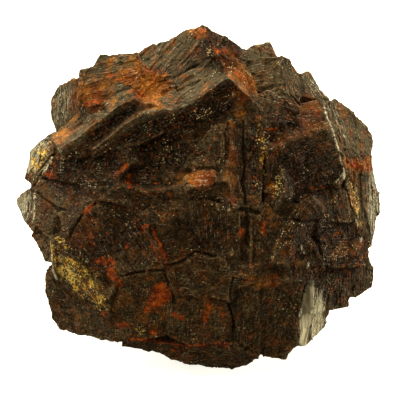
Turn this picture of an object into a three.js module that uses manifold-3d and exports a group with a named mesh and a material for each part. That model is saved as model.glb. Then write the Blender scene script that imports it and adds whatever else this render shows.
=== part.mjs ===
// A pyrite nodule: blocky crystals grown together into one rough ball, turned brown by weathering.
// It is one solid. Millimetres, +Z up, and the nodule rests on the crystal faces at Z = 0.
import * as THREE from "three";
import { mergeVertices } from "three/addons/utils/BufferGeometryUtils.js";
import Module from "manifold-3d";

const wasm = await Module();
wasm.setup();

// ---- driving dimensions, mm and degrees -------------------------------------------------
const BALL_RADIUS = 27.5; // the rough ball that the crystals' outer faces keep near to
const CORE_RADIUS = 23.6; // grown-together crystal behind the faces, the floor of the gaps
const FACE_TIP_DEG = 20; // how far the broad face looks up from level
const REST_HEIGHT = 25.6; // the ball's centre above the faces that it rests on
const FOOT_CLEARANCE = 0.9; // how far every other crystal stays above the resting faces
const CORE_DROP = 2.2; // how far the core's middle is below the ball's, down the broad face
const CORE_DETAIL = 2; // how finely the core's ball is faceted
const CORNER_STRAY = 0.1; // how far a crystal's corners are out of true
const FLARE = 0.1; // how much a crystal of the broad face widens, in mm per mm of its depth
const FLARE_WITHIN = 25; // only corners this near to the middle of the face flare

// ---- the broad face, crystal by crystal -------------------------------------------------
// The face has its own frame: u runs across, v up and w out of it, from the ball's centre.
// Each crystal is a prism. `face` is the outline of its outer face in u and v, and `rise` is w
// at the first corner. `lean` is how much w grows per mm across and per mm up. The crystal runs
// `deep` mm back from that face, square to it.
const FACE_CRYSTALS = [
  // top
  {
    name: "peak",
    face: [[1.2, 28.7], [-2.2, 27.7], [-5.2, 26.3], [-7.8, 25.5], [-10.3, 24], [-8.7, 20.8],
      [-6.2, 19.5], [-2, 21], [0.3, 23.3]],
    rise: 10.8, lean: [0.9, -0.5], deep: 13.5,
  },
  {
    name: "back peak",
    face: [[12.2, 26.3], [10.2, 25.8], [8.8, 25.3], [6.8, 23], [10.8, 21.7], [13.5, 23.3], [12.8, 25.2]],
    rise: 3, lean: [-0.3, -0.7], deep: 9,
  },
  {
    name: "shoulder",
    face: [[-19.8, 19.7], [-19.5, 21], [-17.8, 21.2], [-16.5, 23.8], [-10, 24], [-9, 21],
      [-9.9, 18.8], [-9.3, 16], [-17.5, 14.8], [-19.8, 11.7]],
    rise: 12.6, lean: [0.3, -0.35], deep: 6,
  },
  {
    name: "shoulder side",
    face: [[-19.6, 19.8], [-22.8, 19], [-24.2, 16.7], [-24.5, 13.7], [-23, 10], [-19.3, 11]],
    rise: 11.5, lean: [1.6, 0.1], deep: 8,
  },
  {
    name: "amber wedge",
    face: [[-9.2, 21], [-7.5, 21], [-5, 19.9], [-7.2, 17], [-9.3, 15.6], [-10.2, 18.8]],
    rise: 15.2, lean: [-0.8, -0.3], deep: 7,
  },
  // the long stack of slabs below the peak
  {
    name: "front slab",
    face: [[5.2, 19.7], [-1.2, 15.3], [-3.2, 14.5], [-5.5, 14.5], [-8.5, 13.7], [-11.8, 12],
      [-15, 9.2], [-17.2, 7.6], [-17, 6.3], [-11.2, 7.7], [-1.2, 9.3], [2.5, 12.3], [7.2, 12.7],
      [10.8, 14.3]],
    rise: 22, lean: [-0.15, 0.3], deep: 6,
  },
  {
    name: "middle slab",
    face: [[-6, 15.6], [-9, 15.4], [-10.2, 16.4], [-12.8, 15.2], [-14.5, 13.7], [-16.2, 12.3],
      [-19.5, 9.8], [-22.5, 8], [-21.5, 6], [-16, 7], [-6, 11]],
    rise: 19.8, lean: [-0.15, 0.3], deep: 9.5,
  },
  {
    name: "slab top",
    face: [[1.2, 22.5], [-4.8, 20], [-5.5, 14.6], [-3.2, 14.5], [-1.2, 15.3], [5.2, 19.7]],
    rise: 13.3, lean: [1.09, -1.5], deep: 4,
  },
  {
    name: "slab top, lower end",
    face: [[-4.8, 20], [-9, 15.3], [-8.5, 13.8], [-5.5, 14.5], [-3.2, 14.5], [-2.5, 18]],
    rise: 11.2, lean: [0.2, -1.84], deep: 4,
  },
  {
    name: "small ledge",
    face: [[-12.8, 8], [-9.5, 9.5], [-5.3, 11.2], [-5.2, 10.6], [-9.2, 8.6], [-12.2, 7.3]],
    rise: 22.4, lean: [0, -0.1], deep: 3,
  },
  {
    name: "rusty strip",
    face: [[9.2, 19.7], [8, 22.3], [4.2, 23.5], [2.8, 23.7], [5.2, 19.7], [9.8, 14.3], [10.8, 15.3]],
    rise: 16, lean: [-0.5, -0.2], deep: 8,
  },
  // upper right
  {
    name: "upper block",
    face: [[13.8, 23.3], [10.2, 23.5], [7.5, 22.7], [8.2, 20], [8.8, 17.7], [14.3, 19.2]],
    rise: 13.5, lean: [0.45, -0.35], deep: 8,
  },
  {
    name: "upper block side",
    face: [[13.8, 23.5], [14.8, 23.3], [15.8, 22.5], [16.8, 21.2], [17.7, 20.3], [17.3, 16.3],
      [16.8, 15.7], [14.3, 18]],
    rise: 13, lean: [-1.2, -0.4], deep: 8,
  },
  {
    name: "upper shelf",
    face: [[8.3, 16.8], [14.3, 18.7], [17.2, 15], [17, 12], [10.8, 13.3]],
    rise: 19, lean: [-0.3, -0.4], deep: 8,
  },
  {
    name: "upper notch",
    face: [[17.7, 21], [18.5, 21.3], [19.8, 19.7], [20.7, 17.7], [22.2, 16.2], [22.7, 12.2],
      [20.2, 16.5], [17.7, 16.7]],
    rise: 8, lean: [-0.8, -0.8], deep: 8,
  },
  {
    name: "rusty step",
    face: [[22.2, 11.3], [15.5, 9.3], [14.2, 9.9], [14.5, 13], [17.2, 15.7], [20.2, 16.5], [20.8, 15.3]],
    rise: 17, lean: [-0.24, -0.67], deep: 9,
  },
  {
    name: "rusty hollow",
    face: [[10.8, 12.6], [14.6, 12.4], [15.4, 9.2], [12, 7.9], [11, 9.7]],
    rise: 20, lean: [-0.2, 0.15], deep: 6,
  },
  {
    name: "right block",
    face: [[22.2, 11.3], [15.5, 9.3], [11.8, 7.8], [11.2, -0.3], [17.2, -0.5], [23.3, 2.3], [24.5, 4.5]],
    rise: 17, lean: [-0.55, 0.25], deep: 10,
  },
  {
    name: "block lens",
    face: [[13.8, 5], [12, 2.5], [11, -0.3], [12.8, -2.3], [14.2, 0.2], [14.4, 2.8]],
    rise: 20.8, lean: [0.5, -0.2], deep: 3,
  },
  {
    name: "upper rim",
    face: [[20.7, 15.8], [21.5, 15.8], [23.2, 11.3], [22.2, 11.3]],
    rise: 14.4, lean: [-1.2, -0.8], deep: 5,
  },
  {
    name: "lower rim",
    face: [[22.2, 11.3], [23.2, 11.3], [25.2, 4.5], [23.7, 1.7], [23, 2.3], [24.5, 4.5]],
    rise: 16.6, lean: [-1.5, -0.07], deep: 5,
  },
  {
    name: "right shoulder",
    face: [[23, 16.5], [25.5, 14.7], [27.2, 12.7], [29.2, 11], [29.5, 10.2], [29.2, 6.3], [26.5, 4.5],
      [24.8, 6], [22.8, 12.2], [21.8, 15.7]],
    rise: 9, lean: [-1.1, -0.3], deep: 10,
  },
  // right edge, upright lamellae
  {
    name: "edge plate 1",
    face: [[26.5, 4.3], [29.2, 6.2], [27.5, -0.7], [29.3, -8], [28.5, -8.7], [25.8, -2.3], [24.5, 2.2],
      [24.8, 5.8]],
    rise: 9, lean: [-1.4, 0], deep: 8,
  },
  {
    name: "edge plate 2",
    face: [[27.2, 5.5], [29.2, 6.2], [29.8, 1.7], [29.7, -5.7], [29.3, -8], [27.5, -1]],
    rise: 9, lean: [-1.8, 0.05], deep: 8,
  },
  {
    name: "edge plate 3",
    face: [[29, 4.3], [29.8, 2], [30.7, 1], [30.7, -1.7], [29.8, -4.3], [28.8, -0.3]],
    rise: 3, lean: [-2, 0], deep: 10,
  },
  // right, below the big block
  {
    name: "right ledge",
    face: [[17.3, -0.8], [23.3, 2], [24.8, 1.3], [25.8, -2.7], [26.5, -4.2], [19.8, -4], [18, -2.7]],
    rise: 18.5, lean: [-0.65, -0.2], deep: 8,
  },
  {
    name: "right plate",
    face: [[19.7, -4], [27.2, -4], [28.8, -10], [29, -11.3], [21.8, -11.8], [20.8, -10.7]],
    rise: 18, lean: [-1, 0.15], deep: 2.5,
  },
  {
    name: "right hollow",
    face: [[14.7, -2.8], [17.2, -0.8], [20.2, -4], [26, -4.5], [28, -11], [20.8, -12], [18.8, -8.5],
      [14.7, -8]],
    rise: 19, lean: [-0.8, 0], deep: 8,
  },
  {
    name: "corner block",
    face: [[18.8, -13.8], [23, -12], [29.2, -11], [29.3, -15], [26.7, -16.5], [25.2, -16.8],
      [25.2, -18], [22.2, -18.8], [19, -19.3]],
    rise: 15, lean: [-1.1, 0.35], deep: 7,
  },
  {
    name: "bright flank",
    face: [[17.8, -15], [19.2, -14], [19.8, -17], [22.2, -18.7], [21.3, -21.3], [19.7, -23.2],
      [17.7, -24.5], [16.5, -24.2], [17.3, -19]],
    rise: 13, lean: [-1.8, 0.5], deep: 7,
  },
  {
    name: "lower right face",
    face: [[14.3, -8], [19.2, -7.5], [21.2, -11.7], [19.2, -13.8], [15.5, -13.3], [11.8, -13.8],
      [10.8, -12.3], [12.2, -10.7]],
    rise: 21.5, lean: [-0.5, 0.3], deep: 8,
  },
  {
    name: "slanting ridge",
    face: [[18.7, 0.3], [19.3, -0.7], [15.8, -6.3], [14.3, -10.7], [12.2, -11], [11.8, -10],
      [13.8, -5], [16.7, -0.7]],
    rise: 21.5, lean: [0.3, -0.3], deep: 7,
  },
  {
    name: "low centre",
    face: [[5.8, -10.7], [10.8, -10.7], [10.8, -13.7], [6.5, -15], [5.8, -13.7]],
    rise: 24, lean: [-0.3, 0.15], deep: 7,
  },
  // bottom right
  {
    name: "bottom right block",
    face: [[10.8, -13.8], [14.7, -13], [17.7, -14], [17.5, -18.7], [16.5, -24.5], [15.5, -25.3],
      [14.8, -27], [10.8, -26.5], [10.3, -22.8]],
    rise: 21.5, lean: [-0.35, 0.85], deep: 9,
  },
  {
    name: "bottom block",
    face: [[6.1, -15], [10.3, -14], [10.5, -23.7], [10.5, -26.5], [8.8, -26.3], [6, -24.8], [5.9, -20.3]],
    rise: 22, lean: [-0.15, 0.8], deep: 9,
  },
  // centre
  {
    name: "left post",
    face: [[4.9, 12.9], [7.4, 13], [7.8, -1.2], [5.5, -1.3], [3.4, 3], [5, 8]],
    rise: 21.2, lean: [-0.45, -0.22], deep: 7,
  },
  {
    name: "right post",
    face: [[7.5, 13.2], [10.8, 14.2], [11, 8], [10.8, -1.2], [7.8, -1.3]],
    rise: 20.6, lean: [-0.25, -0.18], deep: 7,
  },
  {
    name: "centre lens",
    face: [[-2, 4.8], [-1.3, 6.8], [0.8, 9.7], [2.6, 11.5], [3.8, 12.2], [4.8, 11.6], [5.2, 9.7],
      [4.8, 7.5], [2.8, 5.2]],
    rise: 24, lean: [-0.08, -0.2], deep: 8,
  },
  {
    name: "orange ledge",
    face: [[-1.9, 4], [1.2, 4.5], [2.9, 4.7], [3.2, 2.7], [1.5, 1.7], [-1.7, 1.3], [-2.4, 2.9]],
    rise: 26.4, lean: [0, -0.5], deep: 7,
  },
  {
    name: "centre band",
    face: [[-7.8, 1.3], [-1.8, 1.9], [1.5, 2.2], [5.2, 2.9], [5.7, -1.3], [6.5, -2], [-1.2, -0.3],
      [-5.3, 0.2]],
    rise: 25.6, lean: [0.05, 0.15], deep: 7,
  },
  {
    name: "lower centre",
    face: [[-1.2, -0.3], [5.2, -0.2], [6.8, -1.7], [7.2, -9.7], [4.2, -10], [1.3, -8.7], [-1, -4]],
    rise: 27.3, lean: [-0.15, 0.2], deep: 7,
  },
  {
    name: "hollow blade",
    face: [[8.4, -2.8], [9, -2.7], [9.2, -10.3], [8.4, -10.3]],
    rise: 24, lean: [-0.2, 0.1], deep: 6,
  },
  {
    name: "hollow floor",
    face: [[7.2, -1.4], [11.2, -0.6], [14.6, -3.5], [13.2, -6.5], [12, -10.4], [7.2, -10]],
    rise: 23.6, lean: [-0.35, 0.1], deep: 7,
  },
  // left of the centre
  {
    name: "left band",
    face: [[-13.2, 2.5], [-9.5, 1.7], [-5.3, 0.3], [-1.2, -0.3], [-1, -4], [-8.7, -4], [-11.5, -1.2],
      [-16.7, -0.3]],
    rise: 23.3, lean: [0.24, 0.08], deep: 7,
  },
  {
    name: "left hollow",
    face: [[-10.7, 7.9], [-1.3, 9.6], [2.4, 12.6], [5.1, 13], [5.2, 8], [3, 4.8], [-1.7, 4.3],
      [-1.7, 1.7], [-5.3, 0.3], [-9.5, 1.7], [-11.5, 4.7]],
    rise: 20.2, lean: [0.05, -0.22], deep: 6,
  },
  {
    name: "left block",
    face: [[-22.8, 8], [-18.7, 7.8], [-11.2, 7.7], [-10.7, 5.5], [-13.2, 2.7], [-16.7, -0.3],
      [-19.5, 2.2], [-23.2, 3], [-26.2, 3.7], [-24.5, 6.3]],
    rise: 14.5, lean: [0.75, -0.05], deep: 8,
  },
  {
    name: "left cheek",
    face: [[-27, 1.3], [-26.2, 3.3], [-22.8, 2.7], [-19.2, 1.7], [-16.7, -0.5], [-20.8, -4.7],
      [-22.5, -7], [-24.5, -6.7], [-27.3, -4]],
    rise: 8, lean: [1.1, -0.3], deep: 8,
  },
  {
    name: "left edge",
    face: [[-28.7, 3.3], [-28.5, 5], [-27.8, 7], [-28.2, 7.5], [-26.5, 9.5], [-24.5, 10.7],
      [-22.8, 11.3], [-20.8, 10.5], [-22.8, 8], [-25.3, 6], [-26.2, 3.7], [-27, 1.7]],
    rise: 3, lean: [1.2, -0.3], deep: 7,
  },
  {
    name: "left edge plate",
    face: [[-27.3, 5.5], [-25.8, 8.3], [-22.8, 10], [-22.8, 8], [-25.3, 6], [-26.5, 3.8]],
    rise: 5.5, lean: [1.2, -0.3], deep: 5,
  },
  {
    name: "left spur",
    face: [[-30.2, -0.2], [-29.5, 0.8], [-27.8, 1.8], [-25.8, 1.3], [-26.2, -2.8], [-27.3, -6],
      [-28.7, -3.8], [-30.3, -1.3]],
    rise: 0, lean: [1.5, -0.2], deep: 9,
  },
  {
    name: "left sliver",
    face: [[-27.7, -6.2], [-26.8, -4.7], [-24.2, -7], [-23.5, -10.7], [-25.2, -10.7], [-26.5, -8.3]],
    rise: 2, lean: [1.4, 0.2], deep: 6,
  },
  {
    name: "bright plate",
    face: [[-24.5, -6.7], [-23.7, -7], [-23.2, -10.7], [-22.8, -14.3], [-23.7, -13.3], [-24.2, -10.7]],
    rise: 14.5, lean: [1.8, 0.6], deep: 4,
  },
  // lower left
  {
    name: "big lower face",
    face: [[-22.5, -7.7], [-21.2, -4.7], [-17, -0.5], [-11.5, -1.3], [-8.5, -4], [-7.3, -7],
      [-5.2, -11.7], [-5.8, -12.3], [-12.3, -12.7], [-14.5, -17], [-19.5, -10]],
    rise: 17, lean: [0.4, 0.05], deep: 10,
  },
  {
    name: "golden bevel",
    face: [[-23.3, -7.8], [-22.5, -7.7], [-19.5, -10], [-14.5, -17], [-16.5, -17.7], [-22.8, -14.7]],
    rise: 15.7, lean: [1.24, 0.78], deep: 9,
  },
  {
    name: "lower left corner",
    face: [[-23.2, -14.3], [-25.2, -11.7], [-25.2, -15.3], [-24, -20], [-22.8, -22], [-19.5, -22.7],
      [-14, -23.8], [-14.7, -17.2], [-16.5, -17.7]],
    rise: 11, lean: [1.23, 1.1], deep: 9,
  },
  {
    name: "lower left face",
    face: [[-12.3, -12.7], [-5.3, -12], [-4.3, -15.7], [-5.3, -22.8], [-9.5, -23.8], [-14.2, -23.8],
      [-15, -17]],
    rise: 21.5, lean: [0.22, 0.8], deep: 9,
  },
  {
    name: "rust ridge",
    face: [[-9, -4.5], [-8.2, -4.3], [-6.5, -7], [-4.8, -10.7], [-5.2, -12], [-6.5, -9.5]],
    rise: 25.6, lean: [0.1, 0.1], deep: 6,
  },
  {
    name: "dark hollow",
    face: [[-7.8, -4], [-1.2, -4], [1.3, -8.7], [-4.8, -10.8], [-6.5, -7.8]],
    rise: 24.8, lean: [0.1, 0.2], deep: 6,
  },
  {
    name: "lower face",
    face: [[-4.8, -10.7], [1.3, -8.7], [4.2, -10], [5.8, -12.8], [5.8, -17], [0.5, -16.3], [-4.3, -15.7]],
    rise: 25, lean: [0, 0.35], deep: 8,
  },
  {
    name: "lower apron",
    face: [[-4.3, -15.7], [0.5, -16.3], [5.8, -17], [5.7, -24.5], [-1.2, -24.5], [-5.2, -22.8]],
    rise: 22.3, lean: [-0.05, 0.8], deep: 9,
  },
  {
    name: "lip left",
    face: [[-11.2, -23.3], [-6.2, -23.7], [-0.8, -24.5], [-2.7, -27.3], [-6.5, -26], [-9.5, -25.2],
      [-12.8, -24.7]],
    rise: 11.5, lean: [0.2, 1.4], deep: 9,
  },
  {
    name: "lip",
    face: [[-1.2, -24.5], [5.7, -24.2], [10.2, -26.5], [8.8, -27.8], [5.8, -28.7], [1.3, -28], [-2.7, -27.3]],
    rise: 14, lean: [-0.1, 1.5], deep: 9,
  },
];

// Pits in the broad face: an outline, and the w of the pit's floor.
const FACE_PITS = [
  { outline: [[-24, -4], [-23.2, -3], [-22.3, -3.3], [-22.2, -5], [-22.8, -6.3], [-23.8, -6]], floor: 13 },
  { outline: [[-16.2, -13.2], [-15.2, -12.5], [-14, -13.5], [-13.7, -14.8], [-14.8, -15]], floor: 18.2 },
  { outline: [[-7.8, -4.3], [-6.8, -4.7], [-6.2, -6.3], [-6.8, -7], [-7.7, -5.7]], floor: 21.5 },
  { outline: [[-18.5, 15], [-15.5, 15.4], [-14.6, 14.6], [-17.6, 13.6]], floor: 13.2 },
];

// ---- the hidden sides ---------------------------------------------------------------------
const SPREAD_COUNT = 76; // crystals that would cover the whole ball
const GOLDEN_ANGLE = Math.PI * (3 - Math.sqrt(5)); // the turn that spreads them evenly over it
// A crystal's place is told by w as a share of the radius: 1 is the middle of the broad face.
const RIM_SHARE = -0.02; // only the places behind this are taken, up to the broad face's rim
const NEAR_RIM_SHARE = -0.7; // from here to the rim the crystals shrink and sink
const RIM_NARROWER = 4;
const RIM_SHORTER = 3;
const RIM_SUNK = 4.2; // also how far those over the resting faces sink
const CRYSTAL_DEPTH = 11; // how far a crystal runs in from its outer face
const SLAB_STEP = 1.3; // thickness of the top slabs of a stepped crystal
const MOST_SLABS = 3;
const SLAB_STAGGER = 0.4; // how far a slab slides back, as a share of what it is smaller by
// What each crystal draws its own value of, between the two given. `salt` tells the draws apart.
const HIDDEN_SIZES = {
  width: { between: [12, 17], salt: 1 },
  height: { between: [10, 14], salt: 2 },
  reach: { between: [-1.5, 0.8], salt: 3 }, // outer face past the rough ball
  slabs: { between: [0, MOST_SLABS], salt: 4 },
  leanAcross: { between: [-0.35, 0.35], salt: 5 }, // radians
  leanUp: { between: [-0.35, 0.35], salt: 6 },
  twist: { between: [0, Math.PI], salt: 7 },
  inset: { between: [0.8, 2], salt: 8 }, // what each slab is smaller by
  chip: { between: [0.8, 3], salt: 11 }, // the corner that is broken off
  slide: { between: [-0.5, 0.5], salt: 12 },
};
const CORNER_SALT = 20; // for the corners of the broad face, across
const CORNER_UP_SALT = 50; // and up

// ---- the crystals that it stands on -------------------------------------------------------
const FOOT_HEIGHT = 9;
const FEET = [
  { x: 4.8, y: -4.5, width: 10, length: 9, turnDeg: 8 },
  { x: -7.5, y: 4.5, width: 9, length: 12, turnDeg: -6 },
  { x: 5, y: 12, width: 12, length: 8, turnDeg: 30 },
];
const DOWN = new THREE.Vector3(0, -1, 0) // the way to the floor, in the broad face's frame
  .applyAxisAngle(new THREE.Vector3(1, 0, 0), THREE.MathUtils.degToRad(FACE_TIP_DEG));
const FEET_NEAR = 0.6; // cosine of the angle from DOWN where the hidden crystals start to sink
const FEET_NEXT = 0.9; // and where they are sunk all the way

// ---- solids -----------------------------------------------------------------------------

// A closed three.js geometry as a solid that can be joined and cut.
function solidOf(geometry) {
  const bare = geometry.index ? geometry.toNonIndexed() : geometry.clone();
  bare.deleteAttribute("normal");
  bare.deleteAttribute("uv");
  const merged = mergeVertices(bare, 1e-4);
  return new wasm.Manifold(
    new wasm.Mesh({
      numProp: 3,
      vertProperties: new Float32Array(merged.attributes.position.array),
      triVerts: new Uint32Array(merged.index.array),
    }),
  );
}

// A solid as a flat-shaded three.js geometry.
function geometryOf(solid) {
  const mesh = solid.getMesh();
  const geometry = new THREE.BufferGeometry();
  geometry.setAttribute("position", new THREE.BufferAttribute(mesh.vertProperties, 3));
  geometry.setIndex(new THREE.BufferAttribute(mesh.triVerts, 1));
  return geometry;
}

// A steady value between `low` and `high` for crystal `index`, so that every build is the same.
function draw(index, salt, low, high) {
  const wave = Math.sin(index * 12.9898 + salt * 78.233) * 43758.5453;
  return low + (high - low) * (wave - Math.floor(wave));
}

// The largest body of a solid, which leaves out the pockets closed off between crystals.
function outerBody(solid) {
  return solid.decompose().reduce((largest, body) => (body.volume() > largest.volume() ? body : largest));
}

// The prism of one crystal of the broad face, in the face's own frame.
function faceCrystal({ face, rise, lean, deep }, index) {
  const corners = face.map(([u, v], corner) => {
    const across = draw(index, CORNER_SALT + corner, -CORNER_STRAY, CORNER_STRAY);
    const up = draw(index, CORNER_UP_SALT + corner, -CORNER_STRAY, CORNER_STRAY);
    return new THREE.Vector2(u + across, v + up);
  });
  const outline = new THREE.Shape(corners);
  const prism = new THREE.ExtrudeGeometry(outline, { depth: 1, bevelEnabled: false });
  const outward = new THREE.Vector3(-lean[0], -lean[1], 1).normalize();
  const [firstU, firstV] = face[0];
  const places = prism.attributes.position;
  const corner = new THREE.Vector3();
  const middle = corners.reduce((sum, at) => sum.add(at), new THREE.Vector2()).divideScalar(corners.length);
  for (let i = 0; i < places.count; i += 1) {
    corner.fromBufferAttribute(places, i);
    const isBack = corner.z < 0.5;
    corner.z = rise + lean[0] * (corner.x - firstU) + lean[1] * (corner.y - firstV);
    if (isBack) {
      const inside = Math.hypot(corner.x, corner.y) < FLARE_WITHIN;
      const away = new THREE.Vector3(corner.x - middle.x, corner.y - middle.y, 0).normalize();
      if (inside) corner.addScaledVector(away, FLARE * deep);
      corner.addScaledVector(outward, -deep);
    }
    places.setXYZ(i, corner.x, corner.y, corner.z);
  }
  return solidOf(prism);
}

// The tool that sinks one pit into the broad face.
function pitCutter({ outline, floor }) {
  const shape = new THREE.Shape(outline.map(([u, v]) => new THREE.Vector2(u, v)));
  const cutter = new THREE.ExtrudeGeometry(shape, { depth: 2 * BALL_RADIUS, bevelEnabled: false });
  return solidOf(cutter.translate(0, 0, floor));
}

// A block with one chipped corner, its outer face at z = 0 and the rest of it below.
function chippedBlock(width, height, chip, depth) {
  const x = width / 2;
  const y = height / 2;
  const corners = [[-x, -y], [x, -y], [x, y - chip], [x - chip, y], [-x, y]];
  const outline = new THREE.Shape(corners.map(([cx, cy]) => new THREE.Vector2(cx, cy)));
  return new THREE.ExtrudeGeometry(outline, { depth, bevelEnabled: false }).translate(0, 0, -depth);
}

// A direction on the ball, number `index` of `count` spread evenly from w = +1 to w = -1.
function spreadDirection(index, count) {
  const w = 1 - (2 * (index + 0.5)) / count;
  const ring = Math.sqrt(1 - w * w);
  const turn = index * GOLDEN_ANGLE;
  return new THREE.Vector3(ring * Math.cos(turn), ring * Math.sin(turn), w);
}

// The value that hidden crystal `index` has of one of HIDDEN_SIZES.
function hiddenSize(name, index, step = 0) {
  const { between, salt } = HIDDEN_SIZES[name];
  return draw(index, salt + step, between[0], between[1]);
}

// Where hidden crystal `index` has its outer face: out from the ball's centre, leant and twisted.
function hiddenPlace(index, outward, reach) {
  const turned = new THREE.Quaternion().setFromUnitVectors(new THREE.Vector3(0, 0, 1), outward);
  const twist = new THREE.Euler(
    hiddenSize("leanAcross", index),
    hiddenSize("leanUp", index),
    hiddenSize("twist", index),
  );
  turned.multiply(new THREE.Quaternion().setFromEuler(twist));
  const at = outward.clone().multiplyScalar(reach);
  return new THREE.Matrix4().compose(at, turned, new THREE.Vector3(1, 1, 1));
}

// One crystal of the hidden sides: a stack of slabs, each smaller than the one that it lies on.
function hiddenCrystal(index) {
  const outward = spreadDirection(index, SPREAD_COUNT);
  const nearRim = THREE.MathUtils.smoothstep(outward.z, NEAR_RIM_SHARE, RIM_SHARE);
  const nearFeet = THREE.MathUtils.smoothstep(outward.dot(DOWN), FEET_NEAR, FEET_NEXT);
  const width = hiddenSize("width", index) - RIM_NARROWER * nearRim;
  const height = hiddenSize("height", index) - RIM_SHORTER * nearRim;
  const sunk = RIM_SUNK * Math.max(nearRim, nearFeet);
  const place = hiddenPlace(index, outward, BALL_RADIUS - sunk + hiddenSize("reach", index));
  const slabs = 1 + Math.floor(hiddenSize("slabs", index));
  const stack = [];
  for (let slab = 0; slab < slabs; slab += 1) {
    const inset = slab * hiddenSize("inset", index, slab);
    const block = chippedBlock(width - inset, height - inset, hiddenSize("chip", index), CRYSTAL_DEPTH);
    const drop = SLAB_STEP * (slabs - 1 - slab);
    block.translate(inset * hiddenSize("slide", index), inset * SLAB_STAGGER, -drop);
    stack.push(solidOf(block.applyMatrix4(place)));
  }
  return wasm.Manifold.union(stack);
}

// A crystal that the nodule stands on: its lowest face is level, at Z = 0.
function foot({ x, y, width, length, turnDeg }) {
  const block = new THREE.BoxGeometry(width, length, FOOT_HEIGHT);
  block.rotateZ(THREE.MathUtils.degToRad(turnDeg));
  block.translate(x, y, FOOT_HEIGHT / 2);
  return solidOf(block);
}

// ---- the nodule -------------------------------------------------------------------------

// Turns the broad face's frame into the part's own: u stays X, and w tips up from level.
const faceToPart = new THREE.Matrix4()
  .makeTranslation(0, 0, REST_HEIGHT)
  .multiply(new THREE.Matrix4().makeRotationX(THREE.MathUtils.degToRad(90 - FACE_TIP_DEG)));

const hidden = [];
for (let index = 0; index < SPREAD_COUNT; index += 1) {
  if (spreadDirection(index, SPREAD_COUNT).z < RIM_SHARE) hidden.push(hiddenCrystal(index));
}
const core = solidOf(new THREE.IcosahedronGeometry(CORE_RADIUS, CORE_DETAIL).translate(0, -CORE_DROP, 0));
const grown = wasm.Manifold.union([core, ...FACE_CRYSTALS.map(faceCrystal), ...hidden]);
const pitted = grown.subtract(wasm.Manifold.union(FACE_PITS.map(pitCutter)));
const ball = geometryOf(pitted).applyMatrix4(faceToPart);

const belowSize = 4 * BALL_RADIUS;
const below = new THREE.BoxGeometry(belowSize, belowSize, belowSize);
below.translate(0, 0, FOOT_CLEARANCE - belowSize / 2);
const nodule = wasm.Manifold.union([
  solidOf(ball).subtract(solidOf(below)),
  ...FEET.map(foot),
]);
const geometry = geometryOf(outerBody(nodule));
geometry.computeVertexNormals();
geometry.computeBoundingBox();
const middle = geometry.boundingBox.getCenter(new THREE.Vector3());

const weatheredPyrite = new THREE.MeshStandardMaterial({
  color: 0x4a3522,
  roughness: 0.55,
  metalness: 0.15,
  flatShading: true,
});

// The origin is on the floor, below the middle of the nodule's box.
const cluster = new THREE.Mesh(geometry, weatheredPyrite);
cluster.name = "pyrite_cluster";
cluster.position.set(-middle.x, -middle.y, 0);

const specimen = new THREE.Group();
specimen.add(cluster);

export default specimen;
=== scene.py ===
"""The looks of a weathered pyrite nodule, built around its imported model.

The nodule is one natural piece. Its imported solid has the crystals, and this script gives a copy of
it the worn edges, the layers that weathering opened, the cracks and pits, and the brown, rusty and
brassy skin. Then it adds a pale floor, soft studio light and the camera.
"""
import itertools
import math
from types import SimpleNamespace

import bmesh
import bpy
import numpy as np
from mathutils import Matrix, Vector
from mathutils.bvhtree import BVHTree


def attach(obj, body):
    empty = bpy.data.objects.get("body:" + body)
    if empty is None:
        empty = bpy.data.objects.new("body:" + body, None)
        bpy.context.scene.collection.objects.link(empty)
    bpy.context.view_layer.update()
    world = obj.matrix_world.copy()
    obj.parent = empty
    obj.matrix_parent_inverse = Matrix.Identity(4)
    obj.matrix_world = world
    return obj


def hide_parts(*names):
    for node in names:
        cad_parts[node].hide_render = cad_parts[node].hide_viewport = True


MM = 0.001

# ---- the broad face's frame -------------------------------------------------------------------
# u runs to the right, v up and w out of the broad face, in mm from the middle of the nodule.
FACE_TIP_DEG = 20.0  # how far the broad face looks up from level
FACE_TIP = math.radians(FACE_TIP_DEG)
FACE_MIDDLE = np.array([-0.22, -1.02, 25.6])
FACE_AXES = np.array([
    [1.0, 0.0, 0.0],
    [0.0, math.sin(FACE_TIP), math.cos(FACE_TIP)],
    [0.0, -math.cos(FACE_TIP), math.sin(FACE_TIP)],
])
# The broad face ends where the skin turns away from w (cosines) and lies behind the middle (mm).
CARVED_FACE = SimpleNamespace(turned=(0.05, 0.3), behind=(-6, 0))
PAINTED_FACE = SimpleNamespace(turned=(-0.05, 0.2), behind=(-9, -3))

# ---- the fine mesh ----------------------------------------------------------------------------
VOXEL_MM = 0.25
SAME_PLACE = 1e-7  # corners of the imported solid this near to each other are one, in m
GROWN_OVER_MM = 0.6  # gaps up to twice this wide are grown over, and inner corners are filled
SUNK_MM = 0.08  # what has grown over lies this far below the crystals' own faces
MOST_TRIANGLES = 196000
FLAT_TOGETHER = math.cos(math.radians(2.5))  # triangles this near to level are one crystal face
WAY_STEPS = 8  # borders run the same way if their directions round to the same eighths
NO_AREA = 1e-9  # smaller triangles, in mm2, have no direction of their own
NO_LENGTH = 1e-6  # nor do shorter sides, in mm

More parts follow.
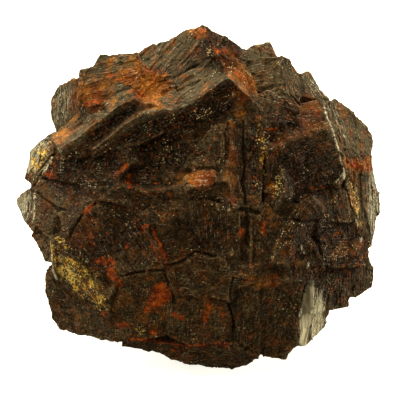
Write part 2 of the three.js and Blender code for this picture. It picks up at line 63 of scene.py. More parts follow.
# ---- the relief of the skin, in mm ------------------------------------------------------------
BEND_MM = 0.25  # how far straight edges stray over a few mm
KINK_MM = 0.10  # and how far they stray from one mm to the next
LEDGES = [(1.1, 0.20), (0.5, 0.12)]  # ledges between layers: width, height
LEDGE_LENGTH = 6  # in widths
LEDGES_APART = 5.0  # sets the ledges of each crystal face apart from those of the next
LUMPS = [  # broken faces: width, height, how much less where layers are open, seed
    (2.6, 0.20, 0.12, 21),
    (1.0, 0.12, 0.04, 41),
]
GRAIN_MM = 0.05  # height of the finest unevenness
WEAR_MM = 0.03  # how much all edges lost
CHIP_MM = 0.35  # and how much more where they chipped
SPARED = 0.6  # the share of both that edges are spared where layers are open
PIT_MM = 0.3
CRACK_MM = 0.5
LOWERED_MM = 0.06  # all over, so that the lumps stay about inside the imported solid's box
EDGE_RISE_MM = (0.05, 0.3)  # an edge stands this far out of its surroundings
RESTING_MM = (0.9, 0.3)  # below this height the skin keeps the flat faces that it stands on

# ---- how patches and lines fade ---------------------------------------------------------------
PATCH_FADES = (1.35, 0.55)  # in half sizes from the middle
LINE_FADES = (2.2, 0.6)  # in half widths from the line
LINE_STRAY_MM = 0.35

# ---- the skin where none of the lists below says otherwise ------------------------------------
MOST_OPENED = 0.3
MOST_DARK = 0.7
MOST_RUST = 0.75
# What a rise has of the colour that a hollow would have in its place.
RUST_ON_RISES = 0.25
AMBER_ON_RISES = 0.4

# ---- where the skin differs, and where shade and light are painted on it ----------------------
# u, v, half width and half height in mm, turn in degrees, strength.
RUST_PATCHES = [
    (-17.8, 15.5, 1.4, 0.6, 10, 0.8),
    (-14.3, 20.3, 1.6, 1.0, -20, 0.6),
    (-10.0, 16.6, 1.8, 0.5, 30, 0.5),
    (-7.4, 19.4, 1.8, 0.6, -60, 0.5),
    (7.4, 20.0, 2.6, 0.6, -52, 0.5),
    (4.4, 24.2, 1.6, 0.5, -12, 0.7),
    (0.8, 27.6, 0.8, 0.6, 0, 0.6),
    (18.6, 14.2, 1.2, 0.9, 0, 0.25),
    (26.8, 5.3, 2.0, 0.6, -10, 0.9),
    (11.7, 11.3, 1.4, 0.4, 0, 0.7),
    (-0.5, 2.4, 1.9, 0.7, 28, 0.55),
    (1.5, 3.4, 1.5, 0.8, 10, 0.5),
    (-11.0, 1.8, 0.7, 0.7, 0, 1.0),
    (-12.2, 4.6, 1.8, 0.5, 45, 0.6),
    (-24.0, 3.6, 1.4, 0.7, -20, 0.7),
    (-17.8, -1.7, 1.6, 0.5, 50, 1.0),
    (-17.2, -6.6, 0.4, 1.2, 0, 0.6),
    (-7.2, -8.0, 3.4, 0.3, -63, 0.7),
    (-11.4, -8.0, 0.5, 0.5, 0, 0.7),
    (-14.6, -10.3, 1.8, 0.9, -10, 0.75),
    (-13.4, -13.0, 1.7, 0.7, -50, 0.8),
    (-6.0, -16.2, 2.6, 1.5, 50, 1.1),
    (-8.2, -18.4, 1.0, 0.6, 60, 0.9),
    (-3.4, -19.2, 1.8, 0.6, -22, 1.0),
    (-15.3, -19.0, 0.5, 0.5, 0, 0.9),
    (-12.7, -21.0, 1.4, 0.6, 0, 0.9),
    (-7.3, -22.2, 1.0, 0.5, -20, 0.9),
    (-3.8, -25.2, 0.8, 0.4, 0, 0.7),
    (1.6, -19.0, 0.45, 2.5, -5, 0.9),
    (4.2, -19.0, 0.7, 1.6, 0, 0.5),
    (3.2, -23.7, 1.1, 0.4, 10, 0.8),
    (5.6, -0.8, 0.5, 1.6, -20, 0.7),
    (7.1, -5.6, 0.4, 1.0, -25, 0.9),
    (10.9, -5.0, 0.5, 1.4, 0, 0.6),
    (8.9, -11.2, 0.7, 0.6, 0, 0.8),
    (26.0, -8.6, 1.2, 0.7, 20, 0.3),
]
AMBER_PATCHES = [
    (-8.3, 18.8, 4.2, 3.0, -35, 1.3),
    (-8.0, -17.0, 6.0, 4.0, 10, 0.25),
    (-13.0, 21.4, 3.5, 1.8, 0, 0.4),
    (-16.5, 17.5, 3.5, 3.5, 0, 0.6),
    (-19.6, 17.0, 1.0, 4.5, -10, 0.6),
    (-21.0, 19.6, 2.5, 1.0, 20, 0.6),
    (-22.5, 10.2, 3.0, 0.9, 35, 0.7),
    (7.0, 20.4, 5.5, 1.6, -50, 0.7),
    (4.5, 24.2, 3.5, 1.0, -10, 0.5),
    (0.3, 27.4, 1.4, 1.2, 0, 0.8),
    (7.0, 15.2, 1.2, 3.0, 15, 0.5),
    (18.6, 14.0, 2.6, 2.8, 0, 0.6),
    (16.5, 10.6, 5.0, 1.2, 15, 0.4),
    (27.0, 5.6, 2.8, 1.4, -10, 1.0),
    (26.0, 1.0, 1.0, 5.0, 6, 0.3),
    (25.0, -8.3, 2.6, 1.2, 15, 0.5),
    (5.5, 5.5, 1.2, 8.0, 0, 0.4),
    (11.2, 4.0, 1.0, 7.0, 8, 0.4),
    (16.0, -10.0, 3.0, 2.0, 0, 0.2),
    (0.4, 2.9, 2.8, 1.4, 18, 1.3),
    (10.5, -13.5, 4.0, 1.6, 0, 0.4),
    (1.5, -19.0, 2.6, 4.0, 0, 0.3),
    (-18.5, -5.5, 1.6, 3.0, -30, 0.4),
    (-22.5, 1.0, 3.2, 3.0, 0, 0.2),
]
# The material also paints highlights where a patch's strength passes 0.8.
GOLD_PATCHES = [
    (-21.2, -12.5, 1.8, 0.8, -49, 1.3),
    (-19.0, -13.4, 6.0, 1.9, -49, 0.58),
    (-16.4, -16.5, 1.8, 1.0, -40, 0.85),
    (-26.0, 6.6, 1.6, 2.6, -20, 0.45),
    (-22.4, -7.6, 0.7, 2.2, 10, 0.4),
    (13.5, 2.6, 0.7, 2.4, -8, 0.45),
    (10.6, 7.5, 0.6, 4.0, 4, 0.4),
    (-9.3, -21.6, 0.8, 0.9, 0, 0.3),
    (26.2, -0.5, 0.8, 3.5, 12, 0.27),
]
# Painted shade: faces that lie in shade, darkened to nearly black.
SHADE_PATCHES = [
    (-13.7, 12.4, 6.0, 1.1, 37, 1.2),
    (-8.0, 11.2, 6.0, 1.4, 25, 1.2),
    (4.2, 17.2, 3.8, 1.6, 36, 1.1),
    (-13.0, 6.5, 6.0, 2.4, 22, 1.0),
    (-5.5, 7.0, 5.5, 3.4, 15, 1.2),
    (0.5, 13.5, 7.0, 2.2, 20, 1.1),
    (1.0, 8.5, 3.0, 3.5, -35, 0.35),
    (-9.5, 2.0, 6.0, 4.0, 0, 0.8),
    (6.3, 6.0, 1.4, 7.5, 0, 0.7),
    (9.0, 6.5, 2.0, 7.0, 0, 1.1),
    (12.5, 7.0, 3.0, 4.5, 0, 0.7),
    (3.0, -0.8, 4.0, 2.0, 0, 0.6),
    (18.0, 4.5, 5.5, 6.5, 0, 1.1),
    (16.5, 13.0, 6.0, 4.5, 0, 1.0),
    (19.0, -5.5, 6.0, 5.0, 0, 1.0),
    (23.4, -7.5, 5.0, 4.5, 0, 1.2),
    (-20.5, 3.4, 5.5, 4.0, 0, 1.0),
    (21.5, -13.5, 6.5, 4.5, 0, 0.8),
    (4.0, 24.6, 4.6, 3.0, -30, 1.0),
    (-14.5, -6.3, 7.5, 5.0, 0, 0.9),
    (-9.0, -9.0, 5.0, 3.0, 20, 0.5),
    (0.5, -5.5, 6.5, 4.0, 0, 0.8),
    (6.2, -18.5, 1.6, 7.0, 0, 0.3),
]
# Partly the skin's own ochre, partly painted light on faces turned to the top and side lights.
OCHRE_AND_LIGHT_PATCHES = [
    (-22.2, 15.0, 2.8, 5.5, 0, 1.2),
    (-14.0, 20.0, 6.0, 5.0, 0, 0.9),
    (-4.0, 17.5, 11.0, 3.4, 30, 1.0),
    (-18.5, 10.5, 7.0, 1.8, 32, 0.9),
    (-6.0, 24.3, 6.5, 3.0, 27, 1.0),
    (8.5, 21.5, 5.0, 3.4, -30, 0.8),
    (12.3, 20.4, 3.2, 3.2, 0, 0.8),
    (16.0, 18.6, 2.2, 4.0, 10, 0.85),
    (2.0, 8.6, 2.6, 3.6, -35, 0.15),
    (19.8, 17.6, 1.5, 4.8, 32, 1.0),
    (22.5, 14.0, 2.0, 6.5, 20, 1.1),
    (26.8, 12.0, 4.0, 6.0, 20, 1.3),
    (-26.0, 6.5, 2.5, 3.5, -20, 0.6),
    (27.5, -1.0, 2.0, 7.0, 0, 0.6),
    (-22.6, -0.8, 3.2, 3.4, 0, 0.45),
    (-19.0, -13.4, 5.5, 1.9, -49, 0.6),
    (13.4, -6.7, 1.6, 6.5, -30, 0.25),
    (20.8, -20.6, 2.2, 4.4, 0, 0.9),
]
# Partly the skin's own cream, partly painted highlight on rims and a flank that face the side
# lights.
PALE_AND_HIGHLIGHT_PATCHES = [
    (18.1, -19.4, 1.0, 5.8, -7, 1.8),
    (19.9, -20.0, 1.2, 4.4, -5, 0.95),
    (29.4, -0.8, 1.2, 6.5, 0, 0.5),
    (0.4, 2.9, 1.6, 0.5, 22, 0.14),
    (-29.0, -0.6, 1.8, 3.0, 10, 0.5),
    (-22.4, 15.6, 1.6, 4.0, -10, 0.3),
    (19.4, 18.0, 0.8, 4.2, 32, 0.25),
    (23.4, 12.6, 0.8, 4.0, 20, 0.25),
    (-26.6, 7.4, 2.2, 3.6, -30, 0.5),
]
SPARK_PATCHES = [
    (0.5, 13.7, 1.5, 1.1, 0, 1.0),
    (-5.5, 7.7, 1.5, 1.8, 0, 0.9),
    (5.7, 16.8, 1.1, 0.8, 0, 0.8),
    (4.2, -1.2, 1.8, 1.1, 0, 0.9),
    (11.3, 8.6, 0.7, 3.0, 0, 1.0),
    (13.3, 2.4, 0.9, 2.6, -12, 1.0),
    (14.3, -6.2, 5.5, 1.0, 63, 0.5),
    (-9.3, -21.8, 0.9, 1.0, 0, 1.0),
    (-16.5, -16.5, 3.0, 1.5, -45, 0.8),
    (-21.0, -12.6, 2.4, 1.3, -49, 1.6),
    (-26.0, 7.0, 1.8, 3.0, -20, 0.7),
    (26.0, -0.5, 1.0, 4.0, 12, 0.8),
    (24.5, -9.0, 2.6, 1.6, 10, 0.6),
]

# ---- lines on the broad face ------------------------------------------------------------------
# Kind, half width in mm, points in u and v.
LINES = [
    ("crack", 0.16, [(-5.5, 17.2), (-2.6, 19.0), (-0.8, 20.2)]),
    ("crack", 0.14, [(-3.2, 18.0), (0.5, 19.3)]),
    ("crack", 0.15, [(-6.2, 19.3), (-2.4, 20.7), (0.5, 22.3)]),
    ("crack", 0.16, [(-26.5, 0.8), (-22.8, -2.0), (-21.5, -2.0)]),
    ("crack", 0.14, [(-12.3, -12.5), (-8.5, -12.2), (-5.3, -11.8)]),
    ("crack", 0.13, [(-5.3, -11.2), (-2.6, -10.4), (0.0, -8.9), (3.2, -9.4)]),
    ("crack", 0.10, [(5.8, -13.0), (5.4, -17.5), (6.0, -22.0)]),
    ("crack", 0.26, [(-1.0, -0.3), (1.2, -0.2), (3.4, -0.6)]),
    ("crack", 0.28, [(7.0, -2.1), (10.0, -2.3)]),
    ("crack", 0.18, [(8.2, -2.4), (8.3, -8.2)]),
    ("crack", 0.14, [(-5.2, -11.0), (-4.7, -14.0), (-3.8, -17.0)]),
    ("crack", 0.2, [(15.9, -3.4), (17.6, -4.2), (19.7, -4.0)]),
    ("crack", 0.16, [(4.9, 12.0), (5.2, 8.5), (4.6, 5.6)]),
    ("crack", 0.12, [(7.6, 12.5), (7.7, 5.0), (7.8, -1.0)]),
    ("crack", 0.10, [(11.2, 7.0), (11.0, 3.0), (10.9, -1.5)]),
    ("crack", 0.10, [(-16.6, -0.8), (-19.2, -3.6), (-21.0, -6.4)]),
    # Pale lines: partly the rims' own colour, partly painted highlight along them.
    ("pale", 0.09, [(20.7, 15.5), (22.2, 11.3), (24.3, 4.3), (22.7, 2.2)]),
    ("pale", 0.14, [(24.3, 4.3), (24.9, 1.0), (26.4, -4.5), (27.0, -7.0)]),
    ("pale", 0.10, [(-22.5, 8.0), (-24.5, 6.0), (-26.0, 3.5), (-26.8, 1.3), (-27.3, -3.7)]),
    ("pale", 0.10, [(-24.2, -7.0), (-23.7, -12.0), (-23.2, -13.3)]),
    ("pale", 0.10, [(16.6, -5.2), (17.0, -7.6), (18.2, -11.2)]),
    ("rust", 0.2, [(-11.2, -23.3), (-6.2, -23.6), (-1.2, -24.5), (5.5, -24.0)]),
    ("rust", 0.2, [(-9.0, -4.5), (-7.6, -5.2), (-6.2, -7.5), (-4.8, -10.9)]),
]

# ---- which way the layers run on the broad face -----------------------------------------------
# u, v, radius in mm, direction in degrees from u, strength.
LAYERS = [
    (-22.3, 15.2, 4.2, 82, 1.0),
    (-13.5, 19.0, 5.0, 8, 0.9),
    (-4.0, 24.0, 5.5, 30, 0.8),
    (-8.0, 13.5, 6.0, 30, 1.0),
    (-18.0, 9.3, 4.5, 32, 1.0),
    (0.5, 18.5, 6.0, 32, 1.0),
    (16.2, 20.0, 3.4, 105, 1.0),
    (28.0, 0.0, 7.0, 96, 1.0),
    (19.2, -19.5, 5.0, 100, 1.0),
    (-23.0, -1.5, 4.2, -18, 0.9),
    (8.0, 6.5, 5.6, 90, 0.7),
    (11.0, -20.0, 5.6, 92, 0.5),
    (-18.8, -12.5, 4.6, -48, 0.8),
    (15.3, -5.0, 5.0, 62, 0.7),
    (-27.0, 6.0, 4.0, 60, 0.9),
]

# ---- colours of the skin and of its painted shade and highlights, from 0 to 255 ---------------
BLACK = (26, 19, 11)
DARK_BROWN = (98, 64, 34)
LIGHT_BROWN = (132, 108, 70)
REDDISH_BROWN = (122, 58, 22)
OLIVE_BROWN = (78, 70, 46)
TAN = (156, 104, 48)
HOLLOW_SHADE = (40, 20, 8)
CRACK_SHADE = (20, 11, 6)
GREY_OCHRE = (94, 85, 60)
ORANGE_OCHRE = (130, 80, 36)
OCHRE_GRIME = (58, 46, 28)
COAL = (12, 7, 4)
OLIVE_GLOW = (68, 62, 42)
RED_GLOW = (90, 50, 24)
DEEP_AMBER = (152, 72, 20)
BRIGHT_AMBER = (232, 148, 50)
AMBER_GRIME_AND_SHADE = (62, 30, 12)
RUST_RED = (162, 46, 9)
RUST_ORANGE = (234, 114, 28)
RUST_BROWN = (108, 38, 14)
HIGHLIGHT_TAN = (168, 136, 88)
CREAM = (232, 218, 164)
BRIGHT_CREAM = (255, 250, 216)
DULL_BRASS = (88, 64, 26)
BRASS = (218, 160, 46)
BRASS_HIGHLIGHT = (255, 228, 122)
GLINT = (244, 228, 164)

# ---- patterns of the skin, in lumps or cells per metre ----------------------------------------
BLOTCHES = 260
OLIVE_BLOTCHES = 380
RED_BLOTCHES = 420
SPARK_BLOTCHES = 330
RUST_GRAIN = 900
SPECKLE = 2600
GRIT = 5200
CRYSTAL_GRAINS = 4200
SPARK_GRAINS = 6400
STREAKS = (0.14, 2.6, 1.0)  # streaks per mm along a layer, across it, and from face to face
FINE_STREAKS = (0.3, 6.0, 1.0)
STREAKS_APART = 7.0  # sets the streaks of each crystal face apart from those of the next

# ---- gloss and the finest relief --------------------------------------------------------------
SKIN_ROUGHNESS = (0.5, 0.75)
SPECULAR = 0.1
SPECULAR_TINT = (1.0, 0.84, 0.6, 1.0)
BRASS_SMOOTHER = 0.15
BRASS_METALLIC = 0.3
BUMP_DEPTH = 0.0004

# ---- the studio, in m -------------------------------------------------------------------------
LIGHT_TINT = (1.0, 0.93, 0.77)
LIGHT_AIM = Vector((0, 0, 0.028))  # the middle of the nodule
LIGHT_DISTANCE = 0.5
LIGHTS = [  # name, azimuth and elevation in degrees, size, power in W
    ("top", 180, 70, 0.35, 3.2),
    ("key", -25, 38, 0.12, 0.75),
    ("back", 180, 30, 0.4, 2.4),
    ("left", -112, 20, 0.35, 2.8),
    ("right", 108, 12, 0.35, 3.3),
]
WORLD_TINT = (1.0, 0.88, 0.7, 1.0)
WORLD_STRENGTH = 0.24
FLOOR_HALF = 6.0
FLOOR_DROP = 0.0002  # keeps the floor clear of the faces that the nodule stands on
FLOOR_COLOUR = (0.86, 0.85, 0.80, 1.0)
FLOOR_ROUGHNESS = 0.9
FLOOR_GLOW = (1.0, 0.99, 0.9, 1.0)
FLOOR_GLOW_STRENGTH = 0.85
CAMERA_DISTANCE = 1.2
FRAME_PX = 400
PX_PER_MM = 6
FRAME_MIDDLE = np.array([0.5, -1 / 3, 0.0])  # where the camera looks, in u, v and w
SENSOR_MM = 36.0
NEAREST_SEEN = 0.05
FARTHEST_SEEN = 20.0


# ---- steady noise -----------------------------------------------------------------------------

# Large odd numbers that mix a place and a seed into a value without a pattern.
HASH_X = 374761393
HASH_Y = 668265263
HASH_Z = 1442695041
HASH_SEED = 1274126177
LOW_32_BITS = 0xFFFFFFFF
LOW_16_BITS = 0xFFFF

CELL_STRAY = 0.42  # how far a broken face's middle strays from its cell's, in cells
TILT_SEED = 11  # added to a seed for draws of another kind
LEVEL_SEED = 17


def lattice(ix, iy, iz, seed):
    """A steady value from 0 to 1 for each whole-number point."""
    mixed = ix * HASH_X + iy * HASH_Y + iz * HASH_Z + seed * HASH_SEED
    mixed = mixed & LOW_32_BITS
    mixed = ((mixed ^ (mixed >> 13)) * HASH_SEED) & LOW_32_BITS
    return ((mixed ^ (mixed >> 16)) & LOW_16_BITS) / LOW_16_BITS


def noise(points, size, seed):
    """Smooth noise from -1 to 1, whose lumps are about `size` across."""
    scaled = points / size
    base = np.floor(scaled).astype(np.int64)
    part = scaled - base
    part = part * part * (3 - 2 * part)
    total = np.zeros(len(points))
    for dx in (0, 1):
        wx = part[:, 0] if dx else 1 - part[:, 0]
        for dy in (0, 1):
            wy = part[:, 1] if dy else 1 - part[:, 1]
            for dz in (0, 1):
                wz = part[:, 2] if dz else 1 - part[:, 2]
                corner = lattice(base[:, 0] + dx, base[:, 1] + dy, base[:, 2] + dz, seed)
                total += wx * wy * wz * corner
    return total * 2 - 1


def rough_noise(points, size, seed, octaves=3):
    """Noise with finer noise on it, from about -1 to 1."""
    total = np.zeros(len(points))
    weight = 1.0
    whole = 0.0
    for octave in range(octaves):
        total += weight * noise(points, size / 2 ** octave, seed + octave)
        whole += weight
        weight *= 0.5
    return total / whole


def steady(cell, seed):
    """A steady value from -1 to 1 for each cell."""
    return lattice(cell[:, 0], cell[:, 1], cell[:, 2], seed) * 2 - 1


def facets(place, seed, flat=False):
    """Broken faces, each about 1 across and tilted its own way: the height at each point.

    With `flat`, the third coordinate only tells separate sets of faces apart.
    """
    base = np.floor(place).astype(np.int64)
    best = np.full(len(place), np.inf)
    owner = base.copy()
    away = np.zeros(place.shape)
    steps = (-1, 0, 1)
    for step in itertools.product(steps, steps, (0,) if flat else steps):
        cell = base + np.array(step)
        stray = np.stack([steady(cell, seed + axis) for axis in range(3)], axis=1)
        offset = place - cell - 0.5 - CELL_STRAY * stray
        if flat:
            offset[:, 2] = 0
        distance = dots(offset, offset)
        closer = distance < best
        best[closer] = distance[closer]
        owner[closer] = cell[closer]
        away[closer] = offset[closer]
    tilt = np.stack([steady(owner, seed + TILT_SEED + axis) for axis in range(3)], axis=1)
    return 0.5 * steady(owner, seed + LEVEL_SEED) + dots(away, tilt)


def smoothstep(low, high, value):
    """From 0 at `low` to 1 at `high`, with soft ends."""
    share = np.clip((value - low) / (high - low), 0, 1)
    return share * share * (3 - 2 * share)


def dots(first, second):
    """The dot product of each row of one array with the same row of another."""
    return np.einsum("ij,ij->i", first, second)


# ---- mesh arrays ------------------------------------------------------------------------------

def points_of(mesh):
    """The places of a mesh's vertices, in mm."""
    places = np.zeros(len(mesh.vertices) * 3)
    mesh.vertices.foreach_get("co", places)
    return places.reshape(-1, 3) / MM


def normals_of(mesh):
    normals = np.zeros(len(mesh.vertices) * 3)
    mesh.vertices.foreach_get("normal", normals)
    return normals.reshape(-1, 3)


def edges_of(mesh):
    edges = np.zeros(len(mesh.edges) * 2, np.int64)
    mesh.edges.foreach_get("vertices", edges)
    return edges.reshape(-1, 2)


def triangles_of(mesh):
    mesh.calc_loop_triangles()
    corners = np.zeros(len(mesh.loop_triangles) * 3, np.int64)
    mesh.loop_triangles.foreach_get("vertices", corners)
    return corners.reshape(-1, 3)


def move_to(mesh, points):
    """Moves a mesh's vertices to places in mm."""
    mesh.vertices.foreach_set("co", (points * MM).astype(np.float32).ravel())
    mesh.update()


def relaxed(values, edges, rounds):
    """Each vertex's values averaged with its neighbours', over and over."""
    count = len(values)
    ends = np.concatenate([edges[:, 0], edges[:, 1]])
    others = np.concatenate([edges[:, 1], edges[:, 0]])
    near = np.maximum(np.bincount(ends, minlength=count), 1)
    flat = values.copy()
    for _ in range(rounds):
        for column in range(flat.shape[1]):
            total = np.bincount(ends, weights=flat[others, column], minlength=count)
            flat[:, column] = 0.5 * flat[:, column] + 0.5 * total / near
    return flat


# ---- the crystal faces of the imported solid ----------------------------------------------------

class CrystalFaces:
    """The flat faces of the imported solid: which is nearest to a point, and how its layers run."""

    def __init__(self, mesh):
        corner = points_of(mesh)
        _, merged = np.unique(np.round(corner, 3), axis=0, return_inverse=True)
        merged = merged.reshape(-1)
        self.triangle = merged[triangles_of(mesh)]
        self.corner = np.zeros((self.triangle.max() + 1, 3))
        self.corner[merged] = corner
        a, b, c = (self.corner[self.triangle[:, i]] for i in range(3))
        cross = np.cross(b - a, c - a)
        length = np.linalg.norm(cross, axis=1)
        self.normal = cross / np.maximum(length, NO_AREA)[:, None]
        self.normal[length < NO_AREA] = (0, 0, 1)
        self.tree = BVHTree.FromPolygons(self.corner.tolist(), self.triangle.tolist())
        borders = self.number_faces()
        self.find_longest(borders)

    def sides(self):
        """Each side of a triangle, with the triangles that it belongs to."""
        owners = {}
        for index, corners in enumerate(self.triangle.tolist()):
            for start, end in zip(corners, corners[1:] + corners[:1]):
                owners.setdefault((min(start, end), max(start, end)), []).append(index)
        return owners

    def number_faces(self):
        """Gives all triangles of a crystal face one number. Returns the sides between faces."""
        root = list(range(len(self.triangle)))

        def find(i):
            while root[i] != i:
                root[i] = root[root[i]]
                i = root[i]
            return i

        borders = []
        for (start, end), owners in self.sides().items():
            first = owners[0]
            last = owners[-1]
            if first != last and self.normal[first] @ self.normal[last] > FLAT_TOGETHER:
                root[find(first)] = find(last)
            else:
                borders.append((start, end, owners))
        numbers = {}
        self.face = np.array([numbers.setdefault(find(i), len(numbers)) for i in range(len(root))])
        return borders

    def find_longest(self, borders):
        """Finds the direction in which each crystal face has the longest borders."""
        borders_by_way = [dict() for _ in range(self.face.max() + 1)]
        for start, end, owners in borders:
            way = self.corner[end] - self.corner[start]
            length = np.linalg.norm(way)
            if length < NO_LENGTH:
                continue
            way = way / length
            if tuple(np.round(way, 3)) < (0, 0, 0):
                way = -way
            key = tuple(np.round(way * WAY_STEPS).astype(int))
            for owner in owners:
                ways = borders_by_way[self.face[owner]]
                total, kept = ways.get(key, (0.0, way))
                ways[key] = (total + length, kept)
        self.along = np.array([
            max(ways.values(), key=lambda entry: entry[0])[1] if ways else (1.0, 0.0, 0.0)
            for ways in borders_by_way
        ])

    def nearest(self, points):
        """The triangle nearest to each point."""
        find = self.tree.find_nearest
        return np.array([find(Vector(point))[2] for point in points.tolist()])


# ---- places on the broad face -----------------------------------------------------------------

def on_face(points):
    """The places of points in the broad face's frame: u, v and w."""
    return (points - FACE_MIDDLE) @ FACE_AXES.T


def patch_mask(flat, facing, patches, ragged):
    """How much each point lies in one of the patches, from 0 to 1, with ragged edges."""
    mask = np.zeros(len(flat))
    for u, v, half_width, half_height, turn_deg, strength in patches:
        turn = math.radians(turn_deg)
        du = flat[:, 0] - u
        dv = flat[:, 1] - v
        across = (du * math.cos(turn) + dv * math.sin(turn)) / half_width
        up = (dv * math.cos(turn) - du * math.sin(turn)) / half_height
        distance = np.hypot(across, up) + ragged
        mask = np.maximum(mask, strength * smoothstep(*PATCH_FADES, distance))
    return mask * facing


def line_mask(flat, facing, kind, ragged):
    """How much each point lies on one of the crooked lines of a kind, from 0 to 1."""
    mask = np.zeros(len(flat))
    stray_u = noise(flat, size=2.5, seed=83)
    stray_v = noise(flat, size=2.5, seed=85)
    flat = flat + LINE_STRAY_MM * np.stack([stray_u, stray_v, np.zeros(len(flat))], axis=1)
    fade_from, fade_to = LINE_FADES
    for line_kind, half_width, points in LINES:
        if line_kind != kind:
            continue
        for (u0, v0), (u1, v1) in zip(points, points[1:]):
            length = math.hypot(u1 - u0, v1 - v0)
            du = flat[:, 0] - u0
            dv = flat[:, 1] - v0
            share = np.clip((du * (u1 - u0) + dv * (v1 - v0)) / length ** 2, 0, 1)
            distance = np.hypot(du - share * (u1 - u0), dv - share * (v1 - v0)) + ragged
            on_line = smoothstep(fade_from * half_width, fade_to * half_width, distance)
            mask = np.maximum(mask, on_line)
    return mask * facing


class Skin:
    """The vertices of the fine mesh: where they lie on the nodule, and how their layers run."""

    def __init__(self, mesh, faces, broad_face):
        self.points = points_of(mesh)
        self.edges = edges_of(mesh)
        self.normals = normals_of(mesh)
        self.flat = on_face(self.points)
        turned = smoothstep(*broad_face.turned, self.normals @ FACE_AXES[2])
        self.facing = turned * smoothstep(*broad_face.behind, self.flat[:, 2])
        self.find_layers(faces, faces.nearest(self.points))

    def find_layers(self, faces, triangle):
        """Finds each point's crystal, its place in the layers, and how open they are.

        The layers run as LAYERS says near its places on the broad face, and elsewhere along the
        longest borders of each crystal face, where they are only a little open.
        """
        self.crystal = faces.face[triangle]
        along = faces.along[self.crystal]
        drawn = lattice(self.crystal, self.crystal * 3, self.crystal * 7, seed=5)
        opened = MOST_OPENED * drawn ** 2
        best = np.ones(len(self.points))
        for u, v, radius, turn_deg, strength in LAYERS:
            turn = math.radians(turn_deg)
            way = FACE_AXES.T @ np.array([math.cos(turn), math.sin(turn), 0.0])
            near = np.hypot(self.flat[:, 0] - u, self.flat[:, 1] - v) / radius
            chosen = (near < best) & (self.facing > 0.1)
            best[chosen] = near[chosen]
            along = np.where(chosen[:, None], way, along)
            opened = np.where(chosen, strength, opened)
        normal = faces.normal[triangle]
        across = np.cross(normal, along)
        size = np.linalg.norm(across, axis=1, keepdims=True)
        across = across / np.maximum(size, NO_LENGTH)
        along = np.cross(across, normal)
        self.along_mm = dots(self.points, along)
        self.across_mm = dots(self.points, across)
        self.opened = opened * smoothstep(0.1, 0.5, size[:, 0])

    def rise(self, rounds):
        """How far each point stands out of its surroundings, which grow with the rounds, in mm."""
        around = relaxed(self.points, self.edges, rounds)
        return dots(self.points - around, self.normals)

    def patches(self, patches, ragged):
        return patch_mask(self.flat, self.facing, patches, ragged)

    def lines(self, kind, ragged):
        return line_mask(self.flat, self.facing, kind, ragged)

    def cracks(self):
        """How much each point lies in a crack, from 0 to 1. The cracks pinch in and open up."""
        narrowed = 0.04 + 0.2 * rough_noise(self.points, size=1.6, seed=61, octaves=2)
        return self.lines("crack", narrowed)


# ---- the worn shape ---------------------------------------------------------------------------

def layer_ledges(skin, width):
    """Heights of the ledges between layers that broke off at different lengths."""
    wander = 0.5 * noise(skin.points, size=6.0, seed=91)
    place = np.stack([
        skin.along_mm / (width * LEDGE_LENGTH),
        skin.across_mm / width + wander,
        skin.crystal * LEDGES_APART,
    ], axis=1)
    return facets(place, seed=101, flat=True)


def warped(points):
    """The points with every straight line made a little crooked."""
    bend = [rough_noise(points, size=5.0, seed=201 + 7 * axis) for axis in range(3)]
    kink = [noise(points, size=1.6, seed=231 + 7 * axis) for axis in range(3)]
    return points + BEND_MM * np.stack(bend, axis=1) + KINK_MM * np.stack(kink, axis=1)


def relief(skin):
    """How far the skin is raised, in mm, by its layers, lumps, pits, cracks and worn edges."""
    points = skin.points
    opened = skin.opened
    height = np.zeros(len(points))
    for width, ledge_mm in LEDGES:
        height += opened * ledge_mm * layer_ledges(skin, width)
    for width, lump_mm, less_mm, seed in LUMPS:
        height += (lump_mm - less_mm * opened) * facets(points / width, seed)
    height += GRAIN_MM * noise(points, size=0.6, seed=31)

    edge = smoothstep(*EDGE_RISE_MM, skin.rise(rounds=14))
    chips = smoothstep(0.1, 0.7, rough_noise(points, size=2.6, seed=47))
    height -= edge * (WEAR_MM + CHIP_MM * chips) * (1 - SPARED * opened)
    pits = smoothstep(0.6, 0.8, rough_noise(points, size=1.6, seed=51, octaves=2))
    height -= PIT_MM * pits
    height -= CRACK_MM * skin.cracks()
    return height - LOWERED_MM


def carve(mesh, faces):
    """Gives the fine mesh its relief and its crooked edges, apart from the faces it stands on."""
    skin = Skin(mesh, faces, CARVED_FACE)
    points = skin.points
    carved = warped(points) + skin.normals * relief(skin)[:, None]
    rests = smoothstep(*RESTING_MM, points[:, 2])
    points = points + (carved - points) * (1 - rests)[:, None]
    points[:, 2] = np.maximum(points[:, 2], 0)
    move_to(mesh, points)


def shape_of(obj, modifier_type, **settings):
    """The object's mesh with one modifier applied."""
    modifier = obj.modifiers.new(modifier_type.lower(), modifier_type)
    for name, value in settings.items():
        setattr(modifier, name, value)
    graph = bpy.context.evaluated_depsgraph_get()
    mesh = bpy.data.meshes.new_from_object(obj.evaluated_get(graph))
    obj.modifiers.remove(modifier)
    obj.data = mesh
    return mesh


def join_mesh(mesh, other):
    """Adds another mesh's faces to a mesh."""
    joined = bmesh.new()
    joined.from_mesh(mesh)
    joined.from_mesh(other)
    bmesh.ops.triangulate(joined, faces=joined.faces)
    joined.to_mesh(mesh)
    joined.free()


